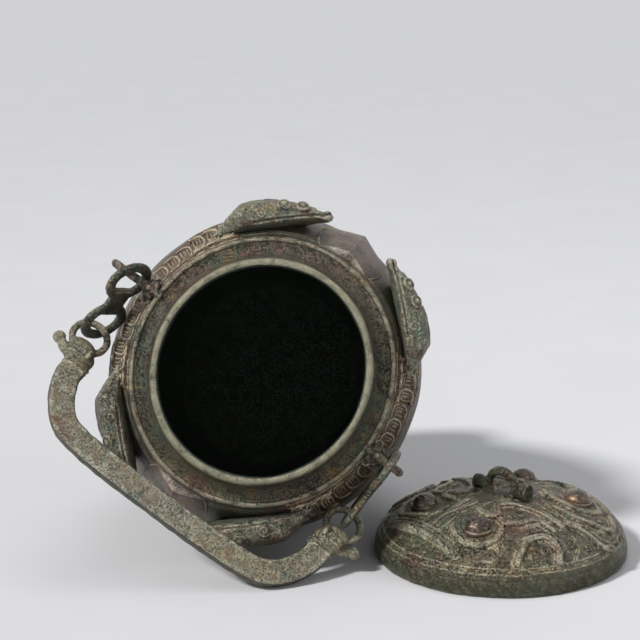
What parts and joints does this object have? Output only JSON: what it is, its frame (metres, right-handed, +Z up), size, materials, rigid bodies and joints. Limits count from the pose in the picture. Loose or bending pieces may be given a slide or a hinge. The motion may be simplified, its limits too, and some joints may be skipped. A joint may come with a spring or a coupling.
{
  "type": "lidded wine vessel with swing handle",
  "caption": "Cast bronze wine vessel with a bellied oval body, foot ring, eared swing handle on figure-8 links and a domed lid lying beside it.",
  "frame": {"origin": "centre of the bounding box's base, on the floor that the vessel and its lid lie on", "axes": "+Z up, -Y the way the vessel's mouth faces, +X towards the lid"},
  "size_m": [0.41, 0.2982, 0.2541],
  "materials": {
    "bronze": "dark green-brown patina, rough",
    "pale_bronze": "pale grey-green patina, worn",
    "red_bronze": "red-brown patina, rough",
    "lid_bronze": "brown-green patina, rough"
  },
  "bodies": {
    "vessel": {"vessel_body": "bronze", "foot_ring": "bronze", "ear_right": "bronze", "ear_left": "bronze", "ridge_upper": "red_bronze", "ridge_lower": "red_bronze", "snake_1": "red_bronze", "snake_2": "red_bronze", "snake_3": "red_bronze", "snake_4": "red_bronze", "snake_head_1": "bronze", "snake_head_2": "bronze", "snake_head_3": "bronze", "snake_head_4": "bronze"},
    "link_left": {"link_left": "bronze"},
    "link_right": {"link_right": "bronze"},
    "bail": {"bail_bar": "pale_bronze", "bail_head_right": "pale_bronze", "bail_head_left": "pale_bronze"},
    "lid": {"lid_shell": "lid_bronze", "lid_knob": "bronze", "lid_eye_1": "lid_bronze", "lid_eye_2": "lid_bronze", "lid_eye_3": "lid_bronze", "lid_eye_4": "lid_bronze", "lid_jaw_1": "lid_bronze", "lid_jaw_2": "lid_bronze"}
  },
  "joints": [
    {"name": "link_left_swing", "type": "hinge", "parent": "vessel", "child": "link_left", "pos_m": [-0.14759, -0.05763, 0.20268], "axis": [0.805, -0.1682, -0.569], "range_deg": [-234, 0]},
    {"name": "link_right_swing", "type": "hinge", "parent": "vessel", "child": "link_right", "pos_m": [0.03112, -0.09497, 0.07637], "axis": [0.805, -0.1682, -0.569], "range_deg": [-234, 0]},
    {"name": "bail_swing", "type": "hinge", "parent": "link_left", "child": "bail", "pos_m": [-0.17242, -0.04655, 0.16251], "axis": [0.805, -0.1682, -0.569], "range_deg": [0, 109.51]},
    {"name": "lid_lift", "type": "slide", "parent": "vessel", "child": "lid", "axis": [0.8, 0, 0.6], "range_m": [0, 0.3]}
  ],
  "couplings": [
    {"joint": "link_right_swing", "follows": "link_left_swing", "ratio": 1},
    {"joint": "bail_swing", "follows": "link_left_swing", "ratio": -0.46714}
  ]
}
